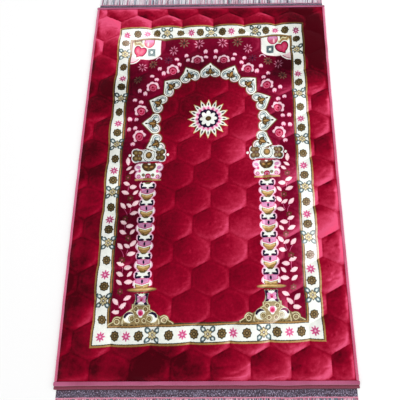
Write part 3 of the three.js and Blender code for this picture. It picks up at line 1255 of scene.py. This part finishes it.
for end_name, way, roll, groove, stripe in rug_ends:
    stripe_from = roll + groove
    outside = stripe_from + stripe
    band_section = (
        # out from the velvet's edge, up from the floor, part: roll 0, groove 1, stripe 2, sole 3
        (0, 7.5, 0),
        (roll * 0.25, 8.3, 0),
        (roll * 0.55, 8.5, 0),
        (roll * 0.85, 7.6, 0),
        (roll, 5.6, 0.4),
        (roll + 0.5, 4.3, 0.9),
        (roll + groove * 0.5, 4, 1),
        (stripe_from - 0.4, 4.2, 1.2),
        (stripe_from + 0.4, 4.9, 1.8),
        (outside - stripe * 0.4, 5, 2),
        (outside - 0.9, 4.4, 2.4),
        (outside - 0.6, 2.6, 2.9),
        (outside - 1, 0.9, 3),
        (outside * 0.7, 0.7, 3),
        (0, 0.7, 3),
    )

    def along_end(out, up, along):
        free = min(out / 6, 1) * (up > 1)
        lift = 0.4 * uneven(along / 30, way * 6, 5) * free
        return along, way * (velvet_end + out + waviness(along, way) * free), up + lift

    band, width = sewn_strip(f"band_{end_name}", band_section, rug_width, tape_thick, along_end)
    band.data.materials.append(band_finish.material)
    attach(band, "root")
    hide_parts(f"end_band_{end_name}")


# ---------------------------------------------------------------------------------------------
# Heading tapes and fringe.
# At each end a narrow woven tape is sewn on beyond the band. Its warp runs out past the last
# pick as the fringe: soft cut yarns in grey, white, pink and blue that lie loose on the floor.
# ---------------------------------------------------------------------------------------------
end_trims = (
    # width of the heading, length of the fringe, least yarn number, and the seed of the lay
    (24, 20.5, 0.5, 17),
    (14, 31, 0, 31),
)
heading_inset = 6
heading_up = 1.1
heading_thick = 0.9
heading_steps = 6
under_band = 0.4
yarns_per_end = 470
yarn_thick = 1.9
yarn_sides = 5
yarn_joints = 6
yarn_root = 1
yarn_taper = 0.45
yarn_least_up = 0.05
yarns_apart = 2
half_width = rug_width / 2 - heading_inset
yarn_pitch = (2 * half_width - yarn_thick) / (yarns_per_end - 1)

heading_dark = dye(50, 38, 54)
heading_grey = dye(116, 110, 130)
pick_pale = dye(190, 172, 200)
warp_dark = dye(60, 18, 42)
rule_deep = dye(196, 96, 128)
rule_pale = dye(232, 160, 184)
seam_dark = dye(58, 18, 42)
rule_at = 0.9
rule_half = 0.075
seam_to = 0.12
heading_finish = Finish("woven_heading")
strip_place = heading_finish.uv_map("strip")
_, across_heading = strip_place.across_and_up()
warp = heading_finish.threads(strip_place, (620, 2.2, 1), detail=1)
patchy = heading_finish.grain(strip_place, 26)
pick = heading_finish.threads(strip_place, (480, 7, 1), detail=0)
grey = heading_finish.mixed(heading_dark, heading_grey, patchy.steep(4, -1.8))
grey = heading_finish.mixed(grey, pick_pale, pick.steep(9, -5.4) * 0.7)
grey = heading_finish.mixed(grey, warp_dark, warp.steep(9, -5))
rule = heading_finish.mixed(rule_deep, rule_pale, warp)
heading_colour = heading_finish.mixed(grey, rule, across_heading.near(rule_at, rule_half))
heading_finish.surface(
    {
        "Base Color": heading_finish.mixed(heading_colour, seam_dark, across_heading < seam_to),
        "Roughness": 0.85,
        "Normal": heading_finish.bump(warp, 0.0006, 0.7),
    }
)

yarn_dyes = (
    # least yarn number, dye
    (0, dye(236, 232, 238)),
    (0.34, dye(206, 200, 214)),
    (0.5, dye(232, 190, 206)),
    (0.64, dye(120, 118, 134)),
    (0.76, dye(206, 120, 150)),
    (0.88, dye(110, 140, 156)),
    (0.95, dye(70, 58, 74)),
)
yarn_shade = dye(90, 60, 80)
yarn_finish = Finish("fringe_yarn")
yarn_dye = yarn_finish.node("ValToRGB", {"stops": yarn_dyes}, {0: yarn_finish.attribute("yarn")})
yarn_place = yarn_finish.node("TexCoord", {}, {}, 3)
twist = yarn_finish.threads(yarn_place, (900, 240, 900), dimensions="3D")
yarn_finish.surface(
    {
        "Base Color": yarn_finish.mixed(yarn_dye, yarn_shade, twist.steep(4, -2.2) * 0.5),
        "Roughness": 0.85,
        "Normal": yarn_finish.bump(twist, 0.0004, 0.6),
    }
)

for (end_name, way, *band_widths), (heading, reach, palest, seed) in zip(rug_ends, end_trims):
    inner = velvet_end + sum(band_widths) - under_band
    heading_section = [
        (inner + heading * step / heading_steps, heading_up, step / heading_steps)
        for step in range(heading_steps + 1)
    ]

    def along_heading(out, up, along):
        lift = 0.5 * uneven(along / 26, out / 12, way * 3)
        return along, way * (out + waviness(along, way)), up + lift

    heading_tape, width = sewn_strip(
        f"heading_{end_name}", heading_section, 2 * half_width, heading_thick, along_heading
    )
    heading_tape.data.materials.append(heading_finish.material)

    # One yarn is modelled, repeated along the tape, and each copy laid out its own way.
    bpy.ops.object.select_all(action="DESELECT")
    bpy.ops.mesh.primitive_cylinder_add(
        vertices=yarn_sides, radius=0.5, depth=1, rotation=(math.radians(-90), 0, 0)
    )
    yarns = bpy.context.object
    bpy.ops.object.transform_apply(location=True, rotation=True, scale=True)
    yarns.name = yarns.data.name = f"fringe_yarn_{end_name}"
    bpy.ops.object.mode_set(mode="EDIT")
    for joint in range(1, yarn_joints):
        bpy.ops.mesh.select_all(action="SELECT")
        bpy.ops.mesh.bisect(plane_co=(0, joint / yarn_joints - 0.5, 0), plane_no=(0, 1, 0))
    bpy.ops.object.mode_set(mode="OBJECT")
    per_yarn = len(yarns.data.vertices)
    row_of_yarns = yarns.modifiers.new("row", "ARRAY")
    row_of_yarns.use_relative_offset = False
    row_of_yarns.use_constant_offset = True
    row_of_yarns.constant_offset_displace = (yarns_apart, 0, 0)
    row_of_yarns.count = yarns_per_end
    bpy.ops.object.modifier_apply(modifier="row")

    chance = random.Random(seed)
    lays = []
    for number in range(yarns_per_end):
        tuft = uneven(number * yarn_pitch / 9, way * 5, 2)
        lays.append(
            {
                "x": -half_width + yarn_thick / 2 + yarn_pitch * number,
                "lean": 5 * tuft + chance.uniform(-2.2, 2.2),
                "curl": chance.uniform(-2, 2),
                "length": reach * (1 - 0.1 * chance.random() - 0.12 * max(0, -tuft)),
                "thick": yarn_thick * chance.uniform(0.8, 1.15),
                "lift": chance.uniform(0, 1.1),
                "number": palest + (1 - palest) * chance.random() ** 1.3,
            }
        )
    yarn_number = yarns.data.attributes.new("yarn", "FLOAT", "POINT")
    for vertex in yarns.data.vertices:
        yarn = vertex.index // per_yarn
        lay = lays[yarn]
        along = vertex.co.y + 0.5
        thick = lay["thick"] * (1 - yarn_taper * along ** 3)
        sideways = lay["lean"] * along ** 1.5 + lay["curl"] * math.sin(along * 5) * 0.4
        round_x = (vertex.co.x - yarns_apart * yarn) * thick
        out = inner + heading - yarn_root + (lay["length"] + yarn_root) * along
        up = yarn_thick / 2 + lay["lift"] * (1 - along) + 0.3 * math.sin(along * 7 + lay["curl"])
        x, y = laid(lay["x"] + sideways + round_x, way * (out + waviness(lay["x"], way)))
        vertex.co = (x, y, max(up + vertex.co.z * thick, yarn_least_up) * mm)
        yarn_number.data[vertex.index].value = lay["number"]
    face_outwards()
    yarns.data.materials.append(yarn_finish.material)

    for piece in (heading_tape, yarns):
        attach(piece, "root")
        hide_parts(f"fringe_{end_name}")


# ---------------------------------------------------------------------------------------------
# Floor, light and camera.
# The rug lies on a plain pale floor, lit by a soft window on the right and a weak lamp above.
# The camera stands at the near end and looks steeply down, turned a little.
# ---------------------------------------------------------------------------------------------
bpy.ops.object.select_all(action="DESELECT")
bpy.ops.mesh.primitive_plane_add(size=30)
floor = bpy.context.object
floor.name = "floor"
floor_finish = Finish("pale_floor")
floor_finish.surface({"Base Color": (0.95, 0.95, 0.95, 1), "Roughness": 0.9})
floor.data.materials.append(floor_finish.material)

world = bpy.data.worlds.new("studio")
bpy.context.scene.world = world
bpy.context.scene.view_settings.view_transform = "Standard"
world.use_nodes = True
room_light = world.node_tree.nodes["Background"].inputs
room_light["Color"].default_value = (1, 1, 1, 1)
room_light["Strength"].default_value = 0.92


def softbox(name, place, size, power):
    bpy.ops.object.light_add(type="AREA", location=place)
    lamp = bpy.context.object
    lamp.name = name
    lamp.data.shape = "SQUARE"
    lamp.data.size = size
    lamp.data.energy = power
    lamp.rotation_euler = (-Vector(place)).to_track_quat("-Z", "Y").to_euler()


softbox("window_right", (2.2, 0.6, 1.6), 1.6, 18)
softbox("overhead", (-0.4, 0.8, 2.6), 2.0, 5)

looks_at_x = 41.074
looks_at_y = -20.025
camera_away = 853.36
camera_turn = math.radians(2.173)
camera_height = math.radians(77.512)
camera_roll = math.radians(-2.128)
back = Vector((
    math.sin(camera_turn) * math.cos(camera_height),
    -math.cos(camera_turn) * math.cos(camera_height),
    math.sin(camera_height),
))
level = (-back).cross(Vector((0, 0, 1))).normalized()
upward = level.cross(-back)
right = math.cos(camera_roll) * level + math.sin(camera_roll) * upward
up = math.cos(camera_roll) * upward - math.sin(camera_roll) * level
bpy.ops.object.camera_add()
camera = bpy.context.object
camera.name = "camera"
target = Vector((looks_at_x + place_x, looks_at_y + place_y, 0))
turned = Matrix((right, up, back)).transposed().to_4x4()
camera.matrix_world = Matrix.Translation((target + back * camera_away) * mm) @ turned
camera.data.sensor_width = 36
camera.data.lens = 24.75
camera.data.shift_x = -0.055
camera.data.shift_y = -0.065
bpy.context.scene.camera = camera
